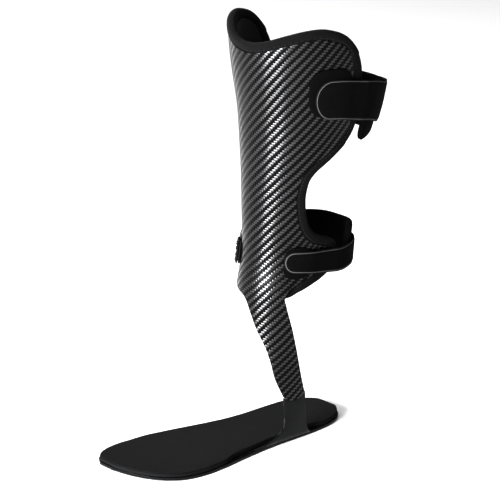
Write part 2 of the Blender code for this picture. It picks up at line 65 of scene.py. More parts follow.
# The leg form: height, centre x, centre y, half width x, half depth in front, half depth behind.
LEG_FORM = (
    (0, 2, -8, 37, 54, 50),
    (45, 2, -4, 37, 46, 46),
    (90, 2, 0, 37, 41, 48),
    (130, 2, 1, 38.5, 41.5, 58),
    (165, 3, 3, 36, 39, 60),
    (205, 4, 8, 40.5, 43.8, 58),
    (254, 6, 16, 49, 52.5, 62),
    (300, 7, 19.7, 55.5, 59, 72),
    (345, 8, 20, 62, 66, 77),
    (385, 9, 20, 65, 69, 80),
)
REAR_SQUARENESS = 0.6

# The strut, row by row upwards: height, medial edge, lateral edge.
STRUT_ROWS = (
    (46, 59.5, 88.5), (60, 48.3, 82.3), (75, 39.5, 76), (90, 29, 70.5), (104, 17, 65.5), (118, 7, 59.5),
    (127, 0, 56), (131.5, -8, 54.3), (133.2, -19, 54.6), (134.6, -30, 55.2), (136.3, -41, 56.2),
    (138.4, -51, 58),
)
# The shell above it: height at the front, height at the edges, angle of both edges.
SHELL_ROWS = (
    (141, 141, 61), (146, 146, 73), (150, 150, 91), (155, 155, 106), (161, 161, 115), (167, 167, 116),
    (172, 172, 109), (177, 177, 95), (183, 183, 80), (191, 191, 69), (201, 201, 62), (213, 213, 57),
    (227, 227, 54), (240, 240, 55), (252, 252, 62.5), (263, 263, 77), (274, 274, 90), (288, 288, 96.5),
    (305, 305, 97.5), (320, 326, 95.5), (333, 343, 91.5), (342, 355, 85), (348, 363, 76),
    (352, 367, 64),
)
CARBON_ROWS = [(z, z, left, right) for z, left, right in STRUT_ROWS]
CARBON_ROWS += [(front, side, -edge, edge) for front, side, edge in SHELL_ROWS]
FIRST_LINER_ROW = 12
ROWS_PER_STEP = 4
SHELL_COLUMNS, LINER_COLUMNS = 72, 64
CARBON = 2.0
LINER_AIR = 1.6
FOAM = 3.4

FLEX_Y, FLEX_Z, FLEX_RADIUS = -15.5, 52.0, 14.0
KNUCKLE_SEAM = 0.12
STRUT_LEFT, STRUT_RIGHT, STRUT_END_Z = 62.0, 90.0, 42.0
STRUT_END_SHARES = (0.0, 0.33, 0.67)
KNUCKLE_FRONT, KNUCKLE_REAR = -24.8, -3.8

# The footplate's edges in pairs from the heel to the toes: lateral x and y, medial x and y.
SOLE_EDGES = (
    (4, 60.5, -4, 60.5), (14, 58, -14, 57.5), (24, 50, -23, 49), (31, 38, -28.5, 37),
    (34.5, 22, -30.5, 21), (36, 4, -30.5, 3), (36.5, -15, -30, -15), (37, -35, -31, -35),
    (39.5, -58, -35, -58), (42.5, -80, -40, -80), (46, -103, -45, -103), (47.5, -122, -48, -122),
    (45, -142, -48, -141), (37, -159, -45.5, -157), (25, -171, -40, -170), (10, -179.5, -33, -179),
    (-7, -184.5, -24, -184.5),
)
SOLE_FRONT, SOLE_BACK = -184.5, 60.5
WALL_FRONT, WALL_REAR = -104.0, 24.0
WALL_RAMP_FRONT, WALL_RAMP_REAR = 20.0, 13.0
PLATE = 2.4
TOE_SPRING, TOE_SPRING_START, TOE_SPRING_RUN = 4.0, -125.0, 60.0
INSOLE_FOAM, INSOLE_COVER = 2.6, 0.9

# The upright's outline: distance along its profile, front edge y, rear edge y.
UPRIGHT_ROWS = (
    (-8, -70, 7), (-2, -82, 9.5), (1.5, -78, 8.5), (4, -67, 6.5), (8, -50, 3), (12, -37.5, 0),
    (17, -29.5, -1.5), (24, -26.6, -2.4), (32, -25.5, -3), (38, -25.0, -3.6),
)
UPRIGHT_FOOT_X = ((-82, 43.6), (-62, 41.2), (-40, 39.3), (-15, 38.8), (0, 38.6), (10, 38.2))
UPRIGHT_LIFT = 0.15
UPRIGHT = 2.2
BEND_RADIUS = 7.0
UPRIGHT_STATIONS = (
    -8, -5, -2, -0.7, 0.5, 1.5, 2.7, 4, 5.3, 6.6, 8, 9.3, 10.6, 12, 13.7, 15.3, 17, 20, 24, 28, 32, 36,
)
UPRIGHT_COLUMNS, SOLE_COLUMNS = 34, 16
JOINS_LEG_LOW, JOINS_LEG_RUN = 6.0, 28.0

# The binding tape round the liner's edge
BINDING_STEPS, BINDING_SIDES = 460, 20
BINDING_HALF, BINDING_PROUD, BINDING_UNDER = 4.25, 0.7, 0.6
BINDING_AWAY, STITCH_AWAY, STITCH_SUNK = 4.2, 1.9, 0.4
WING_COVER, WING_ANGLE, WING_Z = 4.8, 84.0, 278.0
LINER_BOTTOM_Z = 139.5
STRUT_TOP_Z, STRUT_TOP_EDGE = 150.0, 62.0

# Angles round the leg are written past 180 where a strap runs on behind it to the medial side.
STRAPS = {
    "upper": {
        "patch": (54.5, 91, 297, 340, 14),
        "tip": (59.5, 18.0, 14.0),
        "run": (
            (103, 4.6, 307.3), (112, 3.6, 305), (125, 1.4, 301), (139, 0, 297.3), (180, -0.4, 293.5),
            (222, 0.2, 299.5), (240, 3.2, 305), (248, 4.6, 307), (259, 6.4, 311), (267, 7.4, 313),
        ),
        "tip_heights": ((59.5, 313.8), (80, 312.3), (103, 307.3)),
        "width": 36.5,
        "pad": (110, 232, 268, 314, 9),
        "ring": (270.5, 284.5, 315.0, 21.5),
        "peel": (0.3011, -0.9536, 0.0),
        "tab_width": 28.0,
        "rivet_rise": 7.5,
    },
    "lower": {
        "patch": (50, 86, 150, 178, 9),
        "tip": (50, 9.7, 9.2),
        "run": (
            (116, 5.4, 159.5), (124, 5.8, 159.2), (150, 5.8, 160), (180, 5.2, 162),
            (215, 4.6, 162.5), (240, 4.8, 162.5), (257, 6.4, 162.5), (269, 7.4, 162.5),
        ),
        "tip_heights": ((50, 166.4), (80, 164), (116, 159.5)),
        "width": 21.5,
        "pad": (138, 226, 147, 186, 12),
        "ring": (275, 295, 162.5, 16.0),
        "peel": (0.5, -0.866, 0.0),
        "tab_width": 18.0,
        "rivet_rise": 4.8,
    },
}
GAP = 0.3
PATCH = 1.4
CLOTH_COLUMNS = 24
STRAP = 2.0
STRAP_RETURN = 9.0
TIP_STEPS, RUN_STEPS = 20, 96
SEWN_PITCH = 3.2
PAD, PAD_GAP = 5.0, 1.2
LEVEL = ((0, 0.0), (360, 0.0))
WIRE, WIRE_SIDES = 1.5, 16
RING_OUT = 4.6
RING_CORNER = 3.5
TAB = 1.7
TAB_LENGTH, RIVET_ALONG = 18.0, 11.5
TAB_SEAT, TAB_OVER = 1.45, 3.55
RIVET_HEAD = 4.2
RIVET_SIDES = 28
PAD_RIM, PAD_SWELL = 0.42, 0.7
SWELL_FRAMES = 12


# ---- the leg form

def clamp(x, low=0.0, high=1.0):
    return max(low, min(high, x))


def ease(t):
    t = clamp(t)
    return t * t * (3 - 2 * t)


def slope_at(xs, ys, i):
    """The slope of a curve through the points that never overshoots them."""
    if i in (0, len(xs) - 1):
        j = min(i, len(xs) - 2)
        return (ys[j + 1] - ys[j]) / (xs[j + 1] - xs[j])
    before = (ys[i] - ys[i - 1]) / (xs[i] - xs[i - 1])
    after = (ys[i + 1] - ys[i]) / (xs[i + 1] - xs[i])
    return 0.0 if before * after <= 0 else 2 * before * after / (before + after)


def smooth(table, x, column=1):
    """A smooth curve through a table's column, read at x."""
    xs = [row[0] for row in table]
    ys = [row[column] for row in table]
    x = clamp(x, xs[0], xs[-1])
    i = max(0, min(len(xs) - 2, sum(1 for value in xs if value <= x) - 1))
    h = xs[i + 1] - xs[i]
    t = (x - xs[i]) / h
    m0, m1 = slope_at(xs, ys, i), slope_at(xs, ys, i + 1)
    return (
        (2 * t**3 - 3 * t**2 + 1) * ys[i]
        + (t**3 - 2 * t**2 + t) * h * m0
        + (3 * t**2 - 2 * t**3) * ys[i + 1]
        + (t**3 - t**2) * h * m1
    )


def numbered(rows):
    return [(i, *row) for i, row in enumerate(rows)]


def around(sides):
    """The cosine and sine of equal turns round a circle."""
    return [(cos(2 * pi * k / sides), sin(2 * pi * k / sides)) for k in range(sides)]


def corner_steps(corner, degrees):
    """Distances into a round corner at these turns of it."""
    return [corner * (1 - cos(radians(a))) for a in degrees]


def turned(centre, first, second, radius, degrees):
    """Points round a centre at these turns from first to second, each with its direction outwards."""
    offs = [first * cos(radians(a)) + second * sin(radians(a)) for a in degrees]
    return [(centre + off * radius * MM, off) for off in offs]


def running_lengths(points, unit=1.0):
    """The distance along a line to each of its points."""
    lengths = [0.0]
    for a, b in zip(points, points[1:]):
        lengths.append(lengths[-1] + (b - a).length / unit)
    return lengths


@functools.lru_cache(maxsize=None)
def leg_section(height):
    return tuple(smooth(LEG_FORM, height, k) for k in range(1, 6))


def on_leg(angle, height, out=0.0):
    """The point at an angle round the leg, a height, and a distance out from the carbon's face."""
    cx, cy, half_x, front, rear = leg_section(round(height, 2))
    a = radians(angle)
    s, c = sin(a), cos(a)
    if c >= 0:
        return Vector((cx + (half_x + out) * s, cy - (front + out) * c, height)) * MM
    squared = copysign(abs(s) ** REAR_SQUARENESS, s)
    return Vector((cx + (half_x + out) * squared, cy - (rear + out) * c, height)) * MM


def surface_frame(angle, height, out=0.0):
    """Directions on the leg: round it, up it, and outwards."""
    round_it = (on_leg(angle + 0.5, height, out) - on_leg(angle - 0.5, height, out)).normalized()
    up = (on_leg(angle, height + 1, out) - on_leg(angle, height - 1, out)).normalized()
    outward = round_it.cross(up).normalized()
    return round_it, outward.cross(round_it), outward


def mm_per_degree(angle, height):
    return (on_leg(angle + 0.5, height) - on_leg(angle - 0.5, height)).length / MM


ARC_STEP = 5


@functools.lru_cache(maxsize=None)
def arc_at(step, height):
    """Distance round the leg from the shin to an angle of ARC_STEP times step."""
    if step == 0:
        return 0.0
    turn = 1 if step > 0 else -1
    length = (on_leg(ARC_STEP * step, height) - on_leg(ARC_STEP * (step - turn), height)).length / MM
    return arc_at(step - turn, height) + turn * length


def arc(angle, height):
    """Distance round the leg from the shin to an angle, in millimetres."""
    low, level = int(angle // ARC_STEP), round(height)
    share = angle / ARC_STEP - low
    return arc_at(low, level) * (1 - share) + arc_at(low + 1, level) * share


# ---- mesh helpers

RIM_SEGMENTS, RIM_ANGLE = 3, 55
COLUMN_CROWDING = 1.7
CLOTH_RIM = 0.35
CORNER_TURNS = (0, 7, 14, 22, 31, 41, 52, 63, 75, 90)
TIP_TURNS = (0, 4, 9, 15, 22, 30, 39, 48, 58, 68, 79, 90)
STITCH_SIDES = 6
STITCH_PROFILE = ((-0.5, 0.15), (-0.42, 0.75), (-0.2, 1.0), (0.2, 1.0), (0.42, 0.75), (0.5, 0.15))


def mesh_object(name, points, faces, flat_places, materials, edge_distance=None):
    """A smooth-shaded object. flat_places are each point's place on the flat cloth, in millimetres."""
    mesh = bpy.data.meshes.new(name)
    mesh.from_pydata([tuple(p) for p in points], [], faces)
    layer = mesh.uv_layers.new(name="weave")
    for loop in mesh.loops:
        layer.data[loop.index].uv = flat_places[loop.vertex_index]
    if edge_distance:
        attribute = mesh.attributes.new("edge_mm", "FLOAT", "POINT")
        attribute.data.foreach_set("value", edge_distance)
    for finish in materials:
        mesh.materials.append(finish)
    mesh.shade_smooth()
    obj = bpy.data.objects.new(name, mesh)
    bpy.context.scene.collection.objects.link(obj)
    face_outwards(obj)
    return obj


def face_outwards(obj):
    """Turns the faces of a closed mesh outwards."""
    made = bmesh.new()
    made.from_mesh(obj.data)
    bmesh.ops.recalc_face_normals(made, faces=made.faces)
    made.to_mesh(obj.data)
    made.free()


def thick_sheet(name, rows, columns, place, finish, rim=0.6, flat=lambda i, j: (i, j)):
    """A closed sheet with rounded rims: place(i, j, side), side 0 outside and 1 inside."""
    wide = columns + 1
    count = (rows + 1) * wide
    points = [place(i, j, side) for side in (0, 1) for i in range(rows + 1) for j in range(wide)]
    places = [flat(i, j) for _ in (0, 1) for i in range(rows + 1) for j in range(wide)]
    faces = []
    for i in range(rows):
        for j in range(columns):
            a = i * wide + j
            quad = (a, a + 1, a + wide + 1, a + wide)
            faces.append(quad)
            faces.append(tuple(k + count for k in reversed(quad)))
    border = list(range(wide))
    border += [i * wide + columns for i in range(1, rows + 1)]
    border += [rows * wide + j for j in reversed(range(columns))]
    border += [i * wide for i in reversed(range(1, rows))]
    for a, b in zip(border, border[1:] + border[:1]):
        faces.append((b, a, a + count, b + count))
    obj = mesh_object(name, points, faces, places, [finish])
    round_rims(obj, rim)
    return obj


def round_rims(obj, width):
    """Rounds a mesh's sharp edges and applies the result."""
    bevel = obj.modifiers.new("rim", "BEVEL")
    bevel.width = width * MM
    bevel.segments = RIM_SEGMENTS
    bevel.limit_method = "ANGLE"
    bevel.angle_limit = radians(RIM_ANGLE)
    bevel.harden_normals = False
    apply_modifiers(obj)


def apply_modifiers(obj):
    """Replaces an object's mesh by what its modifiers make of it."""
    graph = bpy.context.evaluated_depsgraph_get()
    graph.update()
    mesh = bpy.data.meshes.new_from_object(obj.evaluated_get(graph), depsgraph=graph)
    obj.modifiers.clear()
    old = obj.data
    obj.data = mesh
    bpy.data.meshes.remove(old)
    mesh.shade_smooth()


def pillow(name, stations, columns, half, surface, distance, thickness, finish):
    """A closed cloth piece whose two faces meet at its outline.

    stations are distances along it and half(s) its half width there. surface(s, y) gives a point and
    a normal, distance(s, y) how far it is from the outline, and thickness(d) the cloth's there.
    """
    wide = columns + 1
    last = len(stations) - 1
    points, places, edges = [], [], []
    index = {}
    for side in (1, -1):
        for i, s in enumerate(stations):
            for j in range(wide):
                on_rim = i in (0, last) or j in (0, columns)
                if side < 0 and on_rim:
                    index[i, j, side] = index[i, j, 1]
                    continue
                y = spread(2 * j / columns - 1) * half(s)
                d = 0.0 if on_rim else max(distance(s, y), 0.0)
                point, normal = surface(s, y)
                index[i, j, side] = len(points)
                points.append(point + normal * (side * thickness(d) / 2 * MM))
                places.append((s, y))
                edges.append(d)
    faces = []
    for i in range(last):
        for j in range(columns):
            cell = ((i, j), (i, j + 1), (i + 1, j + 1), (i + 1, j))
            faces.append(tuple(index[a, b, 1] for a, b in cell))
            faces.append(tuple(index[a, b, -1] for a, b in (cell[0], cell[3], cell[2], cell[1])))
    return mesh_object(name, points, faces, places, [finish], edges)


def spread(t):
    """Moves the columns of a cloth piece towards its two edges."""
    return copysign(1 - (1 - abs(t)) ** COLUMN_CROWDING, t)


def rounded_box_distance(along, across, length, half, corner):
    """Distance inwards from the outline of a rectangle with rounded corners."""
    qx = abs(along - length / 2) - (length / 2 - corner)
    qy = abs(across) - (half - corner)
    outside = hypot(max(qx, 0), max(qy, 0))
    return corner - outside - min(max(qx, qy), 0)


def velour(full, sealed=0.55, border=1.5, pile=0.8):
    """The thickness of a strap from its edge inwards: a rounded rim, a flat sealed border, then pile."""
    def thickness(d):
        rim = sqrt(clamp(1 - (1 - clamp(d / CLOTH_RIM)) ** 2))
        return full * rim * (sealed + (1 - sealed) * ease((d - border) / pile))
    return thickness


def stations_between(length, corner, step):
    """Distances along a piece, closer together in its corners."""
    ends = corner_steps(corner, CORNER_TURNS)
    count = max(2, round((length - 2 * corner) / step))
    middle = [corner + (length - 2 * corner) * k / count for k in range(1, count)]
    return ends + middle + [length - e for e in reversed(ends)]


def tube_faces(first, count, sides, closed):
    """The faces of a tube of count sections, closed in a ring or with flat ends."""
    faces = []
    for i in range(count if closed else count - 1):
        row, after = first + i * sides, first + (i + 1) % count * sides
        for k in range(sides):
            m = (k + 1) % sides
            faces.append((row + k, row + m, after + m, after + k))
    if not closed:
        for row in (first, first + (count - 1) * sides):
            faces.append(tuple(range(row, row + sides)))
    return faces


def tube_loop(name, sections, finish, flat, closed=True):
    """A solid through sections of equal length, closed in a ring or with flat ends."""
    count, sides = len(sections), len(sections[0])
    points = [p for section in sections for p in section]
    places = [flat(i, k) for i in range(count) for k in range(sides)]
    return mesh_object(name, points, tube_faces(0, count, sides, closed), places, [finish])


def stitches(name, places, finish, length=2.3, radius=0.28):
    """A row of thread stitches: each place is a point, the thread's direction and the cloth's normal."""
    points, faces, flat = [], [], []
    for point, along, normal in places:
        across = normal.cross(along).normalized()
        faces += tube_faces(len(points), len(STITCH_PROFILE), STITCH_SIDES, False)
        for step, size in STITCH_PROFILE:
            lift = radius * (0.55 + 0.35 * (1 - (2 * step) ** 2))
            centre = point + along * (step * length * MM) + normal * (lift * MM)
            for k, (c, s) in enumerate(around(STITCH_SIDES)):
                points.append(centre + (across * c + normal * s) * radius * size * MM)
                flat.append((step * length, 2 * pi * k / STITCH_SIDES))
    return mesh_object(name, points, faces, flat, [finish])


# ---- materials

def grey(value, blue=None):
    """An opaque near-grey colour."""
    return value, value, value if blue is None else blue, 1


class Nodes:
    """A short way to write a material's node tree."""

    def __init__(self, name):
        self.material = bpy.data.materials.new(name)
        self.material.use_nodes = True
        self.tree = self.material.node_tree
        self.shader = self.tree.nodes["Principled BSDF"]

    def add(self, kind, inputs=(), **settings):
        node = self.tree.nodes.new(kind)
        for key, value in settings.items():
            setattr(node, key, value)
        for key, value in dict(inputs).items():
            self.put(node, key, value)
        return node

    def put(self, node, key, value):
        socket = node.inputs[key]
        if isinstance(value, bpy.types.NodeSocket):
            self.tree.links.new(value, socket)
        else:
            socket.default_value = value

    def maths(self, operation, a, b=0.0, c=0.0):
        return self.add("ShaderNodeMath", {0: a, 1: b, 2: c}, operation=operation).outputs[0]

    def times(self, a, b):
        return self.maths("MULTIPLY", a, b)

    def line(self, value, slope, start):
        """value times slope, plus start."""
        return self.maths("MULTIPLY_ADD", value, slope, start)

    def mix(self, share, a, b):
        """A number between a and b."""
        return self.add("ShaderNodeMix", {0: share, 2: a, 3: b}, data_type="FLOAT").outputs[0]

    def colour(self, share, a, b):
        return self.add("ShaderNodeMix", {0: share, 6: a, 7: b}, data_type="RGBA").outputs[2]

    def steps(self, value, low, high):
        """0 below low, 1 above high, and smooth between."""
        return self.add(
            "ShaderNodeMapRange", {0: value, 1: low, 2: high, 3: 0.0, 4: 1.0},
            interpolation_type="SMOOTHSTEP",
        ).outputs[0]

    def weave_place(self):
        """The two coordinates on the flat cloth, in millimetres."""
        uv = self.add("ShaderNodeUVMap", uv_map="weave").outputs[0]
        apart = self.add("ShaderNodeSeparateXYZ", {0: uv})
        return uv, apart.outputs[0], apart.outputs[1]

    def noise(self, vector, scale, detail=2.0, roughness=0.5):
        inputs = {"Vector": vector, "Scale": scale, "Detail": detail, "Roughness": roughness}
        return self.add("ShaderNodeTexNoise", inputs).outputs[0]

    def object_place(self):
        return self.add("ShaderNodeTexCoord").outputs["Object"]

    def bump(self, height, distance, strength=1.0, normal=None):
        inputs = {"Height": height, "Distance": distance, "Strength": strength}
        if normal is not None:
            inputs["Normal"] = normal
        return self.add("ShaderNodeBump", inputs).outputs[0]

    def set(self, specular=0.5, **values):
        for key, value in values.items():
            self.put(self.shader, key.replace("_", " "), value)
        self.shader.inputs["Specular IOR Level"].default_value = specular
        return self.material


TOW = 2.0


def carbon_twill(name):
    """Clear-coated 2 by 2 twill of carbon tows, whose ribs rise towards the lateral side."""
    n = Nodes(name)
    uv, u, v = n.weave_place()
    wander = n.noise(n.object_place(), 45.0, 2.0)
    drift = n.times(n.maths("SUBTRACT", wander, 0.5), 0.22)
    x = n.maths("ADD", n.maths("DIVIDE", u, TOW), drift)
    y = n.maths("SUBTRACT", n.maths("DIVIDE", v, TOW), drift)
    column, row = n.maths("FLOOR", x), n.maths("FLOOR", y)
    in_column, in_row = n.maths("FRACT", x), n.maths("FRACT", y)
    phase = n.maths("FLOORED_MODULO", n.maths("SUBTRACT", column, row), 4.0)
    weft = n.maths("GREATER_THAN", phase, 1.5)

    def crown(t, power):
        side = n.maths("ABSOLUTE", n.line(t, 2.0, -1.0))
        return n.maths("SUBTRACT", 1.0, n.maths("POWER", side, power))

    def tow(across, along, start):
        run = n.times(n.maths("ADD", start, along), 0.5)
        return n.times(crown(across, 3.0), crown(run, 4.0))

    warp_height = tow(in_column, in_row, n.maths("SUBTRACT", 1.0, phase))
    weft_height = tow(in_row, in_column, n.maths("SUBTRACT", phase, 2.0))
    height = n.mix(weft, warp_height, weft_height)

    drawn_out = ((9.0, 0.35, 1.0), (0.35, 9.0, 1.0))
    fibre = n.mix(weft, *(
        n.noise(n.add("ShaderNodeMapping", {"Vector": uv, "Scale": scale}).outputs[0], 1.0, 2.0)
        for scale in drawn_out
    ))
    # Painted shade: each tow is lighter along its crown and darker where it dips under its neighbours,
    # over the fibres' own streaky tone.
    painted_tow_shade_and_fibre_tone = n.times(n.line(fibre, 0.8, 0.6), n.line(height, 0.75, 0.25))
    # Painted light and shade: the weft tows get about ten times the warp's reflectance, so the weft
    # carries the lamp's bright band and the warp stays dark, though both are one fibre.
    shaded_warp_colour = n.colour(painted_tow_shade_and_fibre_tone, grey(0.001, 0.0011), grey(0.007, 0.0073))
    lit_weft_colour = n.colour(painted_tow_shade_and_fibre_tone, grey(0.001, 0.0011), grey(0.08, 0.0816))
    tangent = n.add("ShaderNodeTangent", direction_type="UV_MAP", uv_map="weave").outputs[0]
    normal = n.bump(height, 0.00016)
    peel = n.noise(n.object_place(), 220.0, 1.0)
    coat = n.bump(peel, 0.000012)
    return n.set(
        specular=0.05,
        Base_Color=n.colour(weft, shaded_warp_colour, lit_weft_colour),
        Metallic=0.9,
        Roughness=n.line(fibre, 0.12, 0.21),
        Anisotropic=0.9,
        Anisotropic_Rotation=n.mix(weft, 0.0, 0.25),
        Tangent=tangent,
        Normal=normal,
        Coat_Weight=0.08,
        Coat_Roughness=0.06,
        Coat_Normal=coat,
    )


def gloss_resin(name):
    """Smooth black resin with a faint trace of the cloth under it and fine scuffs spread all over it."""
    n = Nodes(name)
    place = n.object_place()
    cloud = n.noise(place, 60.0, 3.0)
    scuff = n.steps(n.noise(place, 900.0, 3.0, 0.7), 0.62, 0.75)
    return n.set(
        Base_Color=n.colour(cloud, (0.003, 0.0034, 0.0032, 1), (0.006, 0.0068, 0.0063, 1)),
        specular=0.12,
        Roughness=n.line(scuff, 0.12, n.line(cloud, 0.10, 0.22)),
        Normal=n.bump(cloud, 0.0002, 0.25),
        Coat_Weight=0.16,
        Coat_Roughness=0.07,
    )


def woven(name, dark, light, pitch, roughness=0.85, sheen=0.3, depth=0.00012):
    """Plain woven cloth or tape with crossing threads of one pitch, in millimetres."""
    n = Nodes(name)
    _, u, v = n.weave_place()
    x, y = n.maths("DIVIDE", u, pitch), n.maths("DIVIDE", v, pitch)
    checks = n.maths("FLOORED_MODULO", n.maths("ADD", n.maths("FLOOR", x), n.maths("FLOOR", y)), 2.0)
    over_x = n.maths("SINE", n.times(n.maths("FRACT", x), pi))
    over_y = n.maths("SINE", n.times(n.maths("FRACT", y), pi))
    height = n.mix(checks, over_x, over_y)
    cloud = n.noise(n.object_place(), 90.0, 4.0)
    # Painted shade: each thread is lighter at its crown and darker where it dips at a crossing, mixed
    # with a cloudy tone of the cloth.
    shade = n.line(height, 0.55, n.times(cloud, 0.45))
    return n.set(
        Base_Color=n.colour(shade, dark, light),
        specular=0.08,
        Roughness=roughness,
        Sheen_Weight=sheen * 0.1,
        Sheen_Roughness=0.5,
        Normal=n.bump(height, depth),
    )


def velour_cloth(name, highlight_line_mm=1.35):
    """Short brushed pile with a pressed border where its edge is sealed; the pale line along the border's
    inner side is a painted highlight.
    """
    n = Nodes(name)
    place = n.object_place()
    pile = n.noise(place, 2600.0, 2.0, 0.7)
    nap = n.noise(place, 130.0, 3.0)
    edge = n.add("ShaderNodeAttribute", attribute_name="edge_mm").outputs["Fac"]
    away = n.maths("ABSOLUTE", n.maths("SUBTRACT", edge, highlight_line_mm))
    # The line mask and the pale grey it brings in below make a painted highlight along the sealed
    # border's inner side.
    line = n.maths("SUBTRACT", 1.0, n.steps(away, 0.12, 0.55))
    sealed = n.maths("SUBTRACT", 1.0, n.steps(edge, highlight_line_mm, highlight_line_mm + 0.6))
    cloth = n.colour(n.times(pile, nap), grey(0.0015, 0.0017), grey(0.007, 0.0075))
    pressed = n.colour(sealed, cloth, grey(0.010, 0.0105))
    return n.set(
        Base_Color=n.colour(n.times(line, 0.75), pressed, grey(0.11, 0.112)),
        specular=0.06,
        Roughness=n.mix(sealed, 0.95, 0.6),
        Sheen_Weight=n.mix(sealed, 0.012, 0.0),
        Sheen_Roughness=0.45,
        Normal=n.bump(n.line(pile, 0.8, nap), 0.0002, 0.6),
    )


def brushed_pile(name, tint=0.012):
    """Loop pile or a brushed pad face."""
    n = Nodes(name)
    place = n.object_place()
    curl = n.noise(place, 1500.0, 3.0, 0.75)
    patchy = n.noise(place, 70.0, 3.0)
    shade = n.line(curl, 0.6, n.times(patchy, 0.4))
    return n.set(
        Base_Color=n.colour(shade, grey(tint * 0.35, tint * 0.37), grey(tint * 1.6, tint * 1.65)),
        specular=0.05,
        Roughness=0.97,
        Sheen_Weight=0.008,
        Sheen_Roughness=0.4,
        Normal=n.bump(curl, 0.0005, 0.8),
    )


def knit_face(name):
    """The liner's smooth knitted face, which bends a little light at its edges."""
    n = Nodes(name)
    _, u, v = n.weave_place()
    ribs = n.maths("SINE", n.times(u, 2 * pi / 0.9))
    loops = n.maths("SINE", n.times(v, 2 * pi / 0.7))
    height = n.times(ribs, loops)
    cloud = n.noise(n.object_place(), 35.0, 3.0)
    return n.set(
        Base_Color=n.colour(cloud, grey(0.006, 0.0065), grey(0.016, 0.017)),
        specular=0.15,
        Roughness=n.line(cloud, 0.15, 0.5),
        Sheen_Weight=0.02,
        Sheen_Roughness=0.35,
        Normal=n.bump(height, 0.00008, 0.7),
    )


def foam(name):
    """Closed-cell foam."""
    n = Nodes(name)
    cells = n.add(
        "ShaderNodeTexVoronoi", {"Vector": n.object_place(), "Scale": 1400.0}
    ).outputs["Distance"]
    cloud = n.noise(n.object_place(), 50.0, 3.0)
    return n.set(
        Base_Color=n.colour(cloud, grey(0.006, 0.0065), grey(0.014, 0.015)),
        specular=0.1,
        Roughness=0.8,
        Normal=n.bump(cells, 0.0002, 0.6),
    )


def satin_metal(name, dark, light, roughness):
    """Metal with fine scratches and cloudy tarnish."""
    n = Nodes(name)
    place = n.object_place()
    stretched = n.add("ShaderNodeMapping", {"Vector": place, "Scale": (1.0, 1.0, 14.0)}).outputs[0]
    scratch = n.noise(stretched, 300.0, 3.0, 0.6)
    tarnish = n.noise(place, 160.0, 3.0)
    return n.set(
        Base_Color=n.colour(tarnish, dark, light),
        Metallic=1.0,
        Roughness=n.line(scratch, 0.2, roughness),
        Normal=n.bump(scratch, 0.00003, 0.5),
    )


def moulded_hooks(name):
    """A field of small moulded hooks on a plastic tape."""
    n = Nodes(name)
    dots = n.add(
        "ShaderNodeTexVoronoi", {"Vector": n.object_place(), "Scale": 900.0, "Randomness": 0.15}
    ).outputs["Distance"]
    return n.set(
        # Painted shade: the hook tops are lighter and the tape between the hooks darker.
        Base_Color=n.colour(dots, grey(0.03), grey(0.008)),
        specular=0.2,
        Roughness=0.55,
        Normal=n.bump(n.maths("SUBTRACT", 1.0, dots), 0.0006),
    )


# ---- carbon

CARBON_TABLE = numbered(CARBON_ROWS)


def carbon_place(u, position):
    """Angle and height on the carbon, u from -1 at the medial edge to 1 at the lateral edge."""
    front, side, left, right = (smooth(CARBON_TABLE, position, k) for k in range(1, 5))
    angle = (left + right) / 2 + u * (right - left) / 2
    return angle, front + (side - front) * sin(pi / 2 * abs(u)) ** 2


def strut_end(u):
    """Angle and height on the strut's round end at the ankle."""
    angle = (STRUT_LEFT + STRUT_RIGHT) / 2 + u * (STRUT_RIGHT - STRUT_LEFT) / 2
    y = on_leg(angle, STRUT_END_Z).y / MM
    return angle, FLEX_Z - sqrt(FLEX_RADIUS**2 - (y - FLEX_Y) ** 2)


def carbon_grid():
    """The carbon's places, from the strut's end up to the top edge."""
    columns = [2 * j / SHELL_COLUMNS - 1 for j in range(SHELL_COLUMNS + 1)]
    first = [carbon_place(u, 0) for u in columns]
    end = [strut_end(u) for u in columns]
    grid = [
        [(a[0] + (b[0] - a[0]) * share, a[1] + (b[1] - a[1]) * share) for a, b in zip(end, first)]
        for share in STRUT_END_SHARES
    ]
    steps = (len(CARBON_ROWS) - 1) * ROWS_PER_STEP
    return grid + [[carbon_place(u, k / ROWS_PER_STEP) for u in columns] for k in range(steps + 1)]


def carbon_shell(finish):
    grid = carbon_grid()

    def place(i, j, side):
        angle, height = grid[i][j]
        return on_leg(angle, height, -CARBON * side)

    def flat(i, j):
        return arc(*grid[i][j]), grid[i][j][1]

    shell = thick_sheet("carbon_shell", len(grid) - 1, SHELL_COLUMNS, place, finish, 0.5, flat)
    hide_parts("tibial_shell")
    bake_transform(shell)


def form_x(y, height):
    """The leg form's lateral x at a y and a height."""
    cx, cy, half_x, front, rear = leg_section(round(height, 2))
    c = clamp((cy - y) / (front if y < cy else rear), -1, 1)
    return cx + half_x * sqrt(1 - c * c)


def upright_place(along, y, side):
    """A point of the upright, from its distance along a profile that is flat, then bends, then rises."""
    depth = UPRIGHT * side
    face = smooth(UPRIGHT_FOOT_X, y)
    start = face - BEND_RADIUS
    turn = BEND_RADIUS * pi / 2
    if along <= 0:
        return Vector((start + along, y, UPRIGHT_LIFT + depth * (1 - 2 * UPRIGHT_LIFT / UPRIGHT))) * MM
    if along < turn:
        a = along / BEND_RADIUS
        radius = BEND_RADIUS - depth
        lift = UPRIGHT_LIFT * (1 - a / (pi / 2))
        return Vector((start + radius * sin(a), y, BEND_RADIUS - radius * cos(a) + lift)) * MM
    height = BEND_RADIUS + along - turn
    t = ease((height - JOINS_LEG_LOW) / JOINS_LEG_RUN)
    return Vector((face + (form_x(y, height) - face) * t - depth, y, height)) * MM


def toe_lift(y):
    return TOE_SPRING * clamp((TOE_SPRING_START - y) / TOE_SPRING_RUN) ** 2


def sole_rows(per_pair):
    """The sole's edge pairs, finely."""
    table = numbered(SOLE_EDGES)
    last = (len(SOLE_EDGES) - 1) * per_pair
    return [tuple(smooth(table, k / per_pair, c) for c in range(1, 5)) for k in range(last + 1)]


